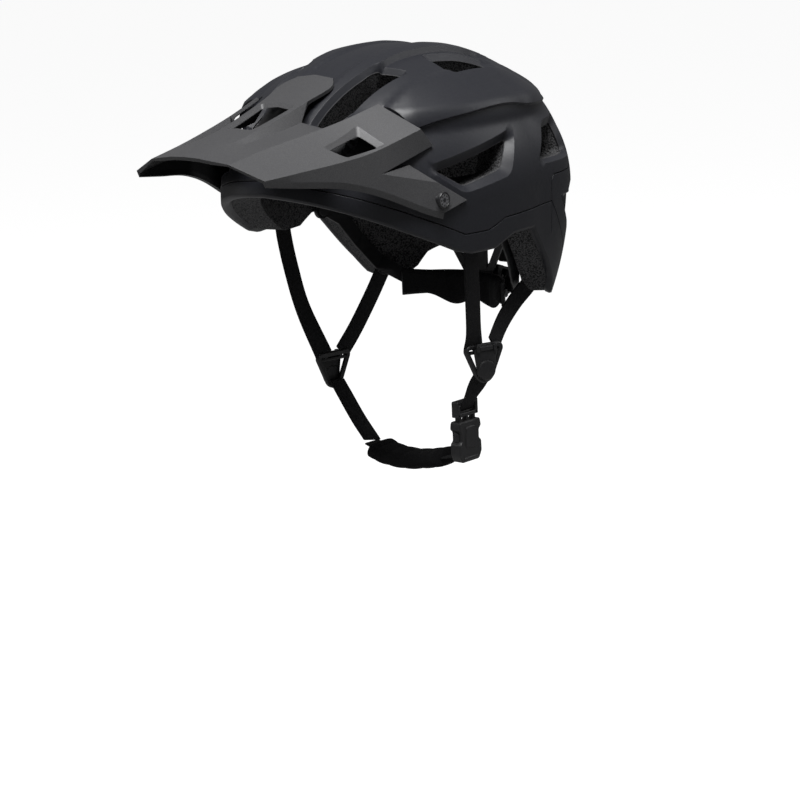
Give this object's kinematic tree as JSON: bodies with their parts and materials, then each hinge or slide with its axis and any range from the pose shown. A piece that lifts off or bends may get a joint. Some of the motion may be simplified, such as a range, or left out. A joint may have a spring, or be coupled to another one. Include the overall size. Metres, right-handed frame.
{
  "type": "cycling helmet",
  "caption": "Half-shell cycling helmet with vented foam shell, tilting visor, dial-adjusted rear cradle, side-release chin strap and rear elastic goggle keeper.",
  "frame": {"origin": "middle of the head opening, on the symmetry plane, at the height of the shell rim above the ears", "axes": "+X wearer's left, -Y forehead and visor, +Y rear, +Z crown; -Z points out of the head opening"},
  "size_m": [0.215, 0.3402, 0.2984],
  "materials": {
    "shell": "satin",
    "foam": "beaded",
    "visor": "metallic matte",
    "screw": "anodised",
    "insert": "plain",
    "padding": "brushed",
    "webbing": "woven",
    "elastic": "matt",
    "hardware": "moulded"
  },
  "bodies": {
    "helmet": {"foam_liner": "foam", "upper_shell": "shell", "rear_shell": "shell", "lower_shell": "shell", "screw_insert_left": "insert", "screw_insert_right": "insert", "brow_pad": "padding", "crown_pads": "padding", "side_pads": "padding", "strap_anchors": "hardware", "temple_pin_left": "hardware", "temple_pin_right": "hardware", "stem_guide": "hardware", "front_strap_left": "webbing", "front_strap_right": "webbing", "rear_strap_left": "webbing", "rear_strap_right": "webbing", "divider_frame_left": "hardware", "divider_frame_right": "hardware", "lower_strap_left": "webbing", "buckle_plug": "hardware", "cord_plugs": "hardware"},
    "visor": {"visor": "visor"},
    "screw_left": {"visor_screw_left": "screw"},
    "screw_right": {"visor_screw_right": "screw"},
    "pivots": {"temple_pivots": "hardware"},
    "left_band": {"band_left": "hardware"},
    "right_band": {"band_right": "hardware"},
    "cradle": {"cradle": "hardware", "dial_housing": "hardware", "height_stem": "hardware", "occipital_pad": "padding"},
    "dial": {"dial_knob": "hardware", "dial_pinion": "insert"},
    "left_cam": {"cam_lever_left": "hardware"},
    "right_cam": {"cam_lever_right": "hardware"},
    "chin_run": {"buckle_socket": "hardware", "chin_strap": "webbing", "chin_pad": "padding", "lower_strap_right": "webbing"},
    "goggle_keeper": {"cord_hook": "hardware", "goggle_cord": "elastic"}
  },
  "joints": [
    {"name": "visor_tilt", "type": "hinge", "parent": "helmet", "child": "visor", "pos_m": [0, -0.061, 0.038], "axis": [-1, 0, 0], "range_deg": [-10, 0]},
    {"name": "screw_left_turn", "type": "hinge", "parent": "helmet", "child": "screw_left", "pos_m": [0.09, -0.061, 0.038], "axis": [1, 0, 0], "continuous": true},
    {"name": "screw_right_turn", "type": "hinge", "parent": "helmet", "child": "screw_right", "pos_m": [-0.09, -0.061, 0.038], "axis": [-1, 0, 0], "continuous": true},
    {"name": "height_adjust", "type": "hinge", "parent": "helmet", "child": "pivots", "pos_m": [0, 0.01, 0.01], "axis": [1, 0, 0], "range_deg": [-4, 3]},
    {"name": "cradle_draw", "type": "slide", "parent": "pivots", "child": "cradle", "axis": [0, -1, 0], "range_m": [-0.0015, 0.006]},
    {"name": "band_left_draw", "type": "hinge", "parent": "pivots", "child": "left_band", "pos_m": [0.076, 0.0175, 0.008], "axis": [0, 0, 1], "range_deg": [-1.2, 4.5]},
    {"name": "band_right_draw", "type": "hinge", "parent": "pivots", "child": "right_band", "pos_m": [-0.076, 0.0175, 0.008], "axis": [0, 0, 1], "range_deg": [-4.5, 1.2]},
    {"name": "dial_turn", "type": "hinge", "parent": "cradle", "child": "dial", "pos_m": [0, 0.101, -0.051], "axis": [0, -0.9511, 0.309], "range_deg": [-18, 75]},
    {"name": "cam_left_open", "type": "hinge", "parent": "helmet", "child": "left_cam", "pos_m": [0.08132, -0.00157, -0.0738], "axis": [-0.342, -0.9397, 0], "range_deg": [0, 70]},
    {"name": "cam_right_open", "type": "hinge", "parent": "helmet", "child": "right_cam", "pos_m": [-0.07753, 0.0138, -0.0973], "axis": [0.1736, 0.9848, 0], "range_deg": [0, 70]},
    {"name": "buckle_release", "type": "slide", "parent": "helmet", "child": "chin_run", "axis": [0, 0, -1], "range_m": [0, 0.024], "deforming": ["lower_strap_right"]},
    {"name": "keeper_swing", "type": "hinge", "parent": "helmet", "child": "goggle_keeper", "pos_m": [0, 0.1175, 0.087], "axis": [1, 0, 0], "range_deg": [0, 60]}
  ],
  "couplings": [
    {"joint": "band_left_draw", "follows": "dial_turn", "ratio": 0.05389},
    {"joint": "band_right_draw", "follows": "dial_turn", "ratio": -0.05389},
    {"joint": "cradle_draw", "follows": "dial_turn", "m_per_rad": 0.004096}
  ]
}
